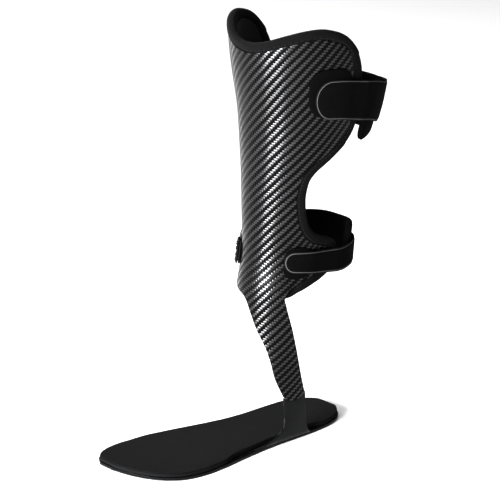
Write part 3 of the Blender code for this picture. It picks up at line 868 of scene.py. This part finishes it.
def footplate(finish):
    """The plate and the upright that bends up from its lateral edge, as one solid."""
    rows = sole_rows(5)

    def plate_place(i, j, side):
        xr, yr, xl, yl = rows[i]
        t = j / SOLE_COLUMNS
        x, y = xr + (xl - xr) * t, yr + (yl - yr) * t
        return Vector((x, y, PLATE * (1 - side) + toe_lift(y))) * MM

    plate = thick_sheet("footplate_body", len(rows) - 1, SOLE_COLUMNS, plate_place, finish)
    stations = len(UPRIGHT_STATIONS)

    def wall_place(i, j, side):
        t = j / UPRIGHT_COLUMNS
        if i == stations:
            y = KNUCKLE_FRONT + (KNUCKLE_REAR - KNUCKLE_FRONT) * t
            height = FLEX_Z - sqrt((FLEX_RADIUS + KNUCKLE_SEAM) ** 2 - (y - FLEX_Y) ** 2)
            return upright_place(height - BEND_RADIUS + BEND_RADIUS * pi / 2, y, side)
        along = UPRIGHT_STATIONS[i]
        front, rear = smooth(UPRIGHT_ROWS, along, 1), smooth(UPRIGHT_ROWS, along, 2)
        return upright_place(along, front + (rear - front) * t, side)

    wall = thick_sheet("footplate_wall", stations, UPRIGHT_COLUMNS, wall_place, finish, 0.5)
    join = plate.modifiers.new("join", "BOOLEAN")
    join.operation = "UNION"
    join.solver = "EXACT"
    join.object = wall
    apply_modifiers(plate)
    bpy.data.objects.remove(wall)
    plate.data.set_sharp_from_angle(angle=radians(50))
    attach(plate, "foot")
    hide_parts("footplate")


def inner_sole(name, inset, wall_inset, low, high, finish, rim):
    """A soft layer on the plate, inset from its edge and more beside the upright."""
    rows = sole_rows(4)

    def edge_row(i):
        xr, yr, xl, yl = rows[i]
        middle = (xr + xl) / 2
        share = max(1 - 2 * inset / max(xr - xl, 2 * inset + 2), 0.2)
        beside = ease(min((yr - WALL_FRONT) / WALL_RAMP_FRONT, (WALL_REAR - yr) / WALL_RAMP_REAR))
        right = middle + (xr - xl) / 2 * share - (wall_inset - inset) * beside
        return right, yr, middle - (xr - xl) / 2 * share, yl

    def place(i, j, side):
        xr, yr, xl, yl = edge_row(i)
        t = j / SOLE_COLUMNS
        y = clamp(yr + (yl - yr) * t, SOLE_FRONT + inset, SOLE_BACK - inset)
        return Vector((xr + (xl - xr) * t, y, (low if side else high) + toe_lift(y))) * MM

    def flat(i, j):
        point = place(i, j, 0)
        return point.x / MM, point.y / MM

    layer = thick_sheet(name, len(rows) - 1, SOLE_COLUMNS, place, finish, rim, flat)
    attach(layer, "foot")
    return layer


# ---- liner

DEGREE_MM = 0.75  # about a degree's length round the leg


def liner_edge():
    """The liner's edge as angles and heights: up laterally, over the top, down, along the bottom."""
    last = len(CARBON_ROWS) - 1
    lateral = [carbon_place(1, k / 3) for k in range(FIRST_LINER_ROW * 3, last * 3 + 1)]
    top = [carbon_place(1 - k / 24, last) for k in range(1, 48)]
    medial = [carbon_place(-1, k / 3) for k in range(last * 3, FIRST_LINER_ROW * 3 - 1, -1)]
    bottom = [(angle, LINER_BOTTOM_Z) for angle in range(-52, 53, 4)]
    return evened(lateral + top + medial + bottom, BINDING_STEPS)


def evened(edge, count):
    """The closed path of angles and heights again, in equal steps and with its corners eased."""
    points = [Vector((angle * DEGREE_MM, height)) for angle, height in edge + edge[:1]]
    lengths = running_lengths(points)
    made, k = [], 0
    for i in range(count):
        target = lengths[-1] * i / count
        while lengths[k + 1] < target:
            k += 1
        share = (target - lengths[k]) / (lengths[k + 1] - lengths[k])
        made.append(points[k].lerp(points[k + 1], share))
    for _ in range(3):
        made = [made[i - 1] * 0.25 + made[i] * 0.5 + made[(i + 1) % count] * 0.25 for i in range(count)]
    return [(p.x / DEGREE_MM, p.y) for p in made]


def edge_step(edge, k):
    """Direction away from the liner, as millimetres round and up, and millimetres to a degree there."""
    angle, height = edge[k]
    scale = mm_per_degree(angle, height)
    before, after = edge[k - 3], edge[(k + 3) % len(edge)]
    along = Vector(((after[0] - before[0]) * scale, after[1] - before[1])).normalized()
    return Vector((along.y, -along.x)), scale


def binding_span(angle, height):
    """How far in and out the binding reaches: under the carbon at the strut, flush with it elsewhere."""
    low = -CARBON - LINER_AIR - FOAM - BINDING_UNDER
    under = -CARBON - GAP
    if height > STRUT_TOP_Z:
        return low, BINDING_PROUD
    return low, under + (BINDING_PROUD - under) * ease((abs(angle) - STRUT_TOP_EDGE) / 12)


def binding(finish, thread):
    """The soft tape folded round the liner's edge, with a row of stitches along each of its faces."""
    edge = liner_edge()
    sections, outer, inner = [], [], []
    for k, (angle, height) in enumerate(edge):
        normal, scale = edge_step(edge, k)
        low, top = binding_span(angle, height)
        cover = WING_COVER * ease((abs(angle) - WING_ANGLE) / 9) * ease((height - WING_Z) / 18)
        soft = 1 + 0.035 * noise.noise(Vector((k * 0.11, 0.0, 3.0)))

        def beyond(away, out):
            return on_leg(angle + normal.x * away / scale, height + normal.y * away, out)

        section = []
        for c, s in around(BINDING_SIDES):
            across = copysign(abs(c) ** 0.72, c) * BINDING_HALF * soft
            out = copysign(abs(s) ** 0.8, s) * (top - low) / 2
            away = BINDING_AWAY - cover / 2 + across * (1 + cover / (2 * BINDING_HALF))
            section.append(beyond(away, (low + top) / 2 + out))
        sections.append(section)
        if k % 2 == 0:
            outer.append(beyond(STITCH_AWAY, top - STITCH_SUNK))
            inner.append(beyond(STITCH_AWAY, low + STITCH_SUNK))
    loop = tube_loop("binding_tape", sections, finish, lambda i, k: (i * 1.9, k * 1.1))
    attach(loop, "shin")
    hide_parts("liner_binding")
    places = []
    for row, turn in ((outer, 1), (inner, -1)):
        for i, point in enumerate(row):
            along = (row[(i + 1) % len(row)] - row[i - 1]).normalized()
            places.append((point, along, surface_frame(*edge[2 * i])[2] * turn))
    sewn = stitches("binding_stitches", places, thread)
    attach(sewn, "shin")


def liner(finish):
    rows = (len(CARBON_ROWS) - 1 - FIRST_LINER_ROW) * ROWS_PER_STEP

    def angles(i, j):
        return carbon_place(2 * j / LINER_COLUMNS - 1, FIRST_LINER_ROW + i / ROWS_PER_STEP)

    def place(i, j, side):
        angle, height = angles(i, j)
        wave = 0.35 * noise.noise(Vector((angle * 0.05, height * 0.035, 0.0)))
        return on_leg(angle, height, -CARBON - LINER_AIR - FOAM * side - wave * side)

    def flat(i, j):
        angle, height = angles(i, j)
        return arc(angle, height), height

    pad = thick_sheet("liner_body", rows, LINER_COLUMNS, place, finish, flat=flat)
    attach(pad, "shin")
    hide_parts("liner_foam")


# ---- straps

def ring_frame(spec):
    """The ring's bars: where the strap turns and where the tab holds it, with the ring's directions."""
    strap_angle, tab_angle, height, half = spec["ring"]
    strap_bar = on_leg(strap_angle, height, RING_OUT)
    tab_bar = on_leg(tab_angle, height, RING_OUT)
    up = surface_frame((strap_angle + tab_angle) / 2, height)[1]
    across = (tab_bar - strap_bar).normalized()
    outward = across.cross(up).normalized()
    up = outward.cross(across)
    return strap_bar, tab_bar, across, up, outward, half


def leg_patch(
    name, first, last, bottom, top, corner, inner, outer, finish, thickness, step=2.5, run=LEVEL
):
    """A soft patch with rounded corners, between two distances from the carbon or from a strap's run."""
    middle, half = (bottom + top) / 2, (top - bottom) / 2
    scale = mm_per_degree((first + last) / 2, middle)
    length = (last - first) * scale

    def half_at(s):
        return half - corner + sqrt(corner**2 - (corner - min(s, length - s, corner)) ** 2)

    def surface(s, y):
        angle = first + s / scale
        normal = surface_frame(angle, middle + y)[2]
        return on_leg(angle, middle + y, smooth(run, angle) + (inner + outer) / 2), normal

    return pillow(
        name, stations_between(length, corner, step), CLOTH_COLUMNS, half_at, surface,
        lambda s, y: rounded_box_distance(s, y, length, half, corner), thickness, finish,
    )


def strap_line(spec):
    """Places along the strap, round end to turned-back end: kind, three values, half width."""
    start, tip_half, corner = spec["tip"]
    hinge, wide = spec["run"][0][0], spec["width"] / 2
    scale = mm_per_degree((start + hinge) / 2, spec["ring"][2])
    length = (hinge - start) * scale
    seat = GAP + PATCH + GAP + STRAP / 2
    along = corner_steps(corner, TIP_TURNS)
    along += [corner + (length - corner) * k / TIP_STEPS for k in range(1, TIP_STEPS)]
    line = []
    for s in along:
        full = tip_half + (wide - tip_half) * clamp((s - corner) / (length - corner))
        half = full * sqrt(clamp(1 - (1 - min(s / corner, 1)) ** 2, 0.0004))
        out = seat + (spec["run"][0][1] - seat) * clamp((s / length - 0.72) / 0.28) ** 2
        angle = start + s / scale
        line.append(("leg", angle, smooth(spec["tip_heights"], angle), out, half))
    for k in range(RUN_STEPS + 1):
        angle = hinge + (spec["run"][-1][0] - hinge) * k / RUN_STEPS
        line.append(("leg", angle, smooth(spec["run"], angle, 2), smooth(spec["run"], angle), wide))
    strap_bar, _, across, up, outward, _ = ring_frame(spec)
    turn = WIRE + GAP + STRAP / 2
    round_bar = turned(strap_bar, across, outward, turn, range(80, -91, -10))
    line += [("turn", point, up, off, wide) for point, off in round_bar]
    strap_angle, _, height, _ = spec["ring"]
    for k in range(1, 6):
        angle = strap_angle - STRAP_RETURN * k / 5 / mm_per_degree(strap_angle, height)
        line.append(("back", angle, height, RING_OUT - turn, wide))
    return line


def strap_surface(place, y):
    """The point and normal of a strap at a place along it and a distance up from its middle."""
    kind, first, second, third, _ = place
    if kind == "turn":
        return first + second * y * MM, third
    normal = surface_frame(first, second + y)[2]
    return on_leg(first, second + y, third), -normal if kind == "back" else normal


def strap(name, spec, finish, thread):
    """The whole strap: its round end lies on the patch it fastens to, and its other end is sewn round the
    ring.
    """
    line = strap_line(spec)
    _, tip_half, corner = spec["tip"]
    lengths = running_lengths([strap_surface(place, 0.0)[0] for place in line], MM)
    total = lengths[-1]
    places = {round(s, 6): place for s, place in zip(lengths, line)}

    def half_at(s):
        return places[round(s, 6)][4]

    def distance(s, y):
        if s < corner:
            return tip_half - hypot((corner - s) * tip_half / corner, y)
        return min(half_at(s) - abs(y), total - s)

    piece = pillow(
        f"{name}_strap", lengths, CLOTH_COLUMNS, half_at,
        lambda s, y: strap_surface(places[round(s, 6)], y), distance, velour(STRAP), finish,
    )
    angle, out, height = spec["run"][0]
    hinge, leaning = on_leg(angle, height, out + STRAP / 2), Vector(spec["peel"])
    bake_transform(piece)
    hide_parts(f"{name}_strap_band", f"{name}_strap_tip")
    sewn_places = []
    half = spec["width"] / 2
    last = max(k for k, place in enumerate(line) if place[0] == "leg")
    for from_turn in (3.0, 7.0):
        k = min(range(last), key=lambda q: abs(lengths[last] - lengths[q] - from_turn))
        for step in range(int(2 * half / SEWN_PITCH) - 1):
            y = -half + SEWN_PITCH + SEWN_PITCH * step
            point, normal = strap_surface(line[k], y)
            along = (strap_surface(line[k], y + 1)[0] - point).normalized()
            sewn_places.append((point + normal * (STRAP / 2 - 0.05) * MM, along, normal))
    sewn = stitches(f"{name}_strap_stitches", sewn_places, thread)
    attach(sewn, f"{name}_strap")


def ring(name, spec, finish):
    """A rectangular loop of round wire, whose butt weld on the tab bar is not drawn."""
    strap_bar, tab_bar, across, up, outward, half = ring_frame(spec)
    centre = (strap_bar + tab_bar) / 2
    half_width = (tab_bar - strap_bar).length / 2 / MM
    path = []
    for quarter, (sx, sy) in enumerate(((1, 1), (-1, 1), (-1, -1), (1, -1))):
        corner = centre + across * (sx * (half_width - RING_CORNER) * MM)
        corner += up * (sy * (half - RING_CORNER) * MM)
        degrees = [90 * quarter + 90 * step / 8 for step in range(9)]
        path += turned(corner, across, up, RING_CORNER, degrees)
    sections = [
        [middle + (off * c + outward * s) * WIRE * MM for c, s in around(WIRE_SIDES)]
        for middle, off in path
    ]
    loop = tube_loop(f"{name}_wire_ring", sections, finish, lambda i, k: (i * 2.0, k * 0.6))
    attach(loop, f"{name}_loop")
    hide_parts(f"{name}_ring")


def tab_line(spec):
    """Places along the folded tab, from under the bar round it to its top: centre, up, normal."""
    _, tab_bar, across, up, outward, _ = ring_frame(spec)
    _, angle, height, _ = spec["ring"]
    scale = mm_per_degree(angle + 8, height)
    turn = WIRE + GAP + TAB / 2

    def leg(along, out, turned):
        at = angle + along / scale
        _, up_here, outward_here = surface_frame(at, height)
        return on_leg(at, height, out), up_here, -outward_here if turned else outward_here

    low, high = RING_OUT - turn, RING_OUT + turn
    line = [leg(TAB_LENGTH - d, TAB_SEAT, True) for d in (0.0, 0.4, 1.2, 2.5, 4.5, 7.0, 9.0)]
    line.append(leg(6.5, TAB_SEAT + 0.1, True))
    line.append(leg(4.0, (TAB_SEAT + low) / 2, True))
    round_bar = turned(tab_bar, across, outward, turn, range(-90, -271, -15))
    line += [(point, up, off) for point, off in round_bar]
    line += [leg(2.2, high - 0.45, False), leg(4.2, high - 1.9, False), leg(6.2, TAB_OVER + 0.5, False)]
    line += [leg(TAB_LENGTH - d, TAB_OVER, False) for d in (10.0, 7.0, 4.5, 2.5, 1.2, 0.4, 0.0)]
    return line


def tab(name, spec, finish, thread):
    """The webbing folded round the ring's bar, with stitches along its two long edges."""
    line = tab_line(spec)
    half = spec["tab_width"] / 2
    lengths = running_lengths([place[0] for place in line], MM)
    total = lengths[-1]
    lookup = {round(s, 6): k for k, s in enumerate(lengths)}

    def surface(s, y):
        centre, up, normal = line[lookup[round(s, 6)]]
        return centre + up * y * MM, normal

    piece = pillow(
        f"{name}_tab", lengths, 18, lambda s: half, surface,
        lambda s, y: min(half - abs(y), s, total - s), velour(TAB, 0.85, 0.4, 0.5), finish,
    )
    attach(piece, "shin")
    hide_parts(f"{name}_ring_tab")
    places = []
    upper_leg = line[-7:]
    for sign in (-1, 1):
        for a, b in zip(upper_leg, upper_leg[1:]):
            along = (b[0] - a[0]).normalized()
            point = (a[0] + b[0]) / 2 + a[1] * sign * (half - 1.6) * MM + a[2] * (TAB / 2 - 0.06) * MM
            places.append((point, along, a[2]))
    sewn = stitches(f"{name}_tab_stitches", places, thread, length=1.7, radius=0.24)
    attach(sewn, "shin")


def rivets(name, spec, finish):
    """Domed rivets with a rolled rim, over the heads in the frame."""
    _, angle, height, _ = spec["ring"]
    at = angle + RIVET_ALONG / mm_per_degree(angle + 8, height)
    seat = TAB_OVER + TAB / 2
    profile = [
        (-3.0, 3.1), (-2.5, 3.2), (-2.4, 1.75), (seat + 0.2, 1.75),
        (seat + 0.25, RIVET_HEAD * 0.96), (seat + 0.45, RIVET_HEAD), (seat + 0.75, RIVET_HEAD * 0.97),
    ]
    profile += [
        (seat + 0.75 + 1.25 * sin(radians(a)), RIVET_HEAD * 0.93 * cos(radians(a)))
        for a in (10, 22, 35, 48, 60, 71, 80, 86)
    ]
    for word, rise in (("top", spec["rivet_rise"]), ("bottom", -spec["rivet_rise"])):
        centre = on_leg(at, height + rise)
        round_it, up, outward = surface_frame(at, height)
        sections = [
            [centre + outward * d * MM + (round_it * c + up * s) * r * MM for c, s in around(RIVET_SIDES)]
            for d, r in profile
        ]
        head = tube_loop(f"{name}_rivet_head_{word}", sections, finish, lambda i, k: (i, k), closed=False)
        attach(head, "shin")
        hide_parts(f"{name}_rivet_{word}")


def strap_pad(name, spec, finish):
    """The soft pad on the inside of the strap, swollen by cloth simulation."""
    first, last, bottom, top, corner = spec["pad"]
    outer = -STRAP / 2 - PAD_GAP

    def thickness(d):
        full = PAD_RIM + (1 - PAD_RIM) * sqrt(clamp(1 - (1 - clamp(d / PAD)) ** 2))
        return PAD * full * clamp((d + 0.15) / 0.3)

    pad = leg_patch(
        f"{name}_soft_pad", first, last, bottom, top, corner, outer - PAD, outer, finish, thickness,
        step=3.2, run=spec["run"],
    )
    swell(pad, PAD_SWELL)
    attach(pad, f"{name}_strap")
    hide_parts(f"{name}_pad")


def swell(obj, cap):
    """Blows a closed cloth piece up with a cloth simulation, moving no point further than cap."""
    start = [vertex.co.copy() for vertex in obj.data.vertices]
    cloth = obj.modifiers.new("swell", "CLOTH")
    cloth.settings.use_pressure = True
    cloth.settings.uniform_pressure_force = 3.0
    cloth.settings.effector_weights.gravity = 0.0
    cloth.settings.quality = 4
    cloth.point_cache.frame_start, cloth.point_cache.frame_end = 1, SWELL_FRAMES
    scene = bpy.context.scene
    for number in range(1, SWELL_FRAMES + 1):
        scene.frame_set(number)
    apply_modifiers(obj)
    for vertex, before in zip(obj.data.vertices, start):
        move = vertex.co - before
        if move.length > cap * MM:
            vertex.co = before + move.normalized() * cap * MM
    scene.frame_set(1)


# ---- the scene

def studio():
    """A pale floor, soft light from above and the left, and the camera."""
    scene = bpy.context.scene
    floor_nodes = Nodes("floor")
    paint = floor_nodes.noise(floor_nodes.object_place(), 3.0, 2.0)
    floor_nodes.set(
        Base_Color=floor_nodes.colour(paint, grey(0.93), grey(0.96)), Roughness=0.9
    )
    bpy.ops.mesh.primitive_plane_add(size=14, location=(0, 0, -0.0002))
    floor = bpy.context.object
    floor.name = "floor"
    floor.data.materials.append(floor_nodes.material)
    world = bpy.data.worlds.new("studio")
    scene.world = world
    world.use_nodes = True
    background = world.node_tree.nodes["Background"]
    background.inputs[0].default_value = grey(1)
    background.inputs[1].default_value = 0.08
    lamps = (
        ("overhead", (0.0, 0.5, 2.6), (0, 0.3, 0.1), 3.6, 3.6, 62.0),
        ("key", (0.4, -2.57, 0.72), (0, 0, 0.2), 1.4, 1.3, 380.0),
        ("medial_rim", (-2.2, -0.1, 0.7), (0, 0, 0.2), 0.5, 1.8, 30.0),
    )
    for name, place, target, wide, tall, power in lamps:
        data = bpy.data.lights.new(name, "AREA")
        data.shape = "RECTANGLE"
        data.size, data.size_y = wide, tall
        data.energy = power
        lamp = bpy.data.objects.new(name, data)
        lamp.location = place
        lamp.rotation_euler = (Vector(target) - Vector(place)).to_track_quat("-Z", "Y").to_euler()
        scene.collection.objects.link(lamp)
    data = bpy.data.cameras.new("camera")
    data.lens, data.sensor_width = CAMERA_LENS, SENSOR
    data.clip_end = 20
    camera = bpy.data.objects.new("camera", data)
    azimuth, elevation = radians(CAMERA_AZIMUTH), radians(CAMERA_ELEVATION)
    back = Vector((
        sin(azimuth) * cos(elevation), -cos(azimuth) * cos(elevation), sin(elevation)
    ))
    camera.location = Vector(CAMERA_TARGET) + back * CAMERA_DISTANCE
    camera.rotation_euler = back.to_track_quat("Z", "Y").to_euler()
    scene.collection.objects.link(camera)
    scene.camera = camera
    scene.view_settings.view_transform = "Standard"
    scene.view_settings.gamma = VIEW_GAMMA


def assign(obj, finish):
    """Gives a CAD node that stays a better material."""
    obj.data.materials.clear()
    obj.data.materials.append(finish)


def main():
    twill, resin = carbon_twill("carbon_twill"), gloss_resin("carbon_resin")
    strap_cloth = velour_cloth("strap_velour")
    tape = woven("binding_weave", grey(0.0015, 0.0017), grey(0.006, 0.0065), 0.8)
    webbing = woven("webbing_weave", grey(0.002), grey(0.012, 0.0125), 1.3, depth=0.0002)
    thread = woven("thread", grey(0.006, 0.0065), grey(0.02, 0.021), 0.5, 0.6)
    loop_pile = brushed_pile("loop_pile", 0.003)
    pad_pile = brushed_pile("pad_pile", 0.004)
    cell_foam = foam("insole_cells")
    cover_cloth = woven("insole_weave", grey(0.004, 0.0045), grey(0.012, 0.0125), 0.9, 0.8, 0.2)
    black_wire = satin_metal("black_wire", grey(0.02, 0.021), grey(0.05, 0.052), 0.28)
    rivet_steel = satin_metal("rivet_satin", grey(0.35, 0.36), grey(0.55, 0.56), 0.22)
    hooks = moulded_hooks("moulded_hooks")

    carbon_shell(twill)
    footplate(resin)
    floor = PLATE + GAP
    cushion = inner_sole("insole_cushion", 1.4, 5.2, floor, floor + INSOLE_FOAM, cell_foam, 0.5)
    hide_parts("insole_foam")
    floor += GAP + INSOLE_FOAM
    top = inner_sole("insole_top", 2.0, 5.6, floor, floor + INSOLE_COVER, cover_cloth, 0.3)
    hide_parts("insole_cover")
    liner(knit_face("liner_knit"))
    binding(tape, thread)
    for name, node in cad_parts.items():
        if name.startswith("liner_hook"):
            assign(node, hooks)
    for name, spec in STRAPS.items():
        pile = leg_patch(
            f"{name}_loop_patch", *spec["patch"], GAP, GAP + PATCH, loop_pile,
            velour(PATCH, 0.7, 0.8, 0.8),
        )
        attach(pile, "shin")
        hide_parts(f"{name}_landing_patch")
        strap(name, spec, strap_cloth, thread)
        strap_pad(name, spec, pad_pile)
        ring(name, spec, black_wire)
        tab(name, spec, webbing, thread)
        rivets(name, spec, rivet_steel)
    studio()


main()
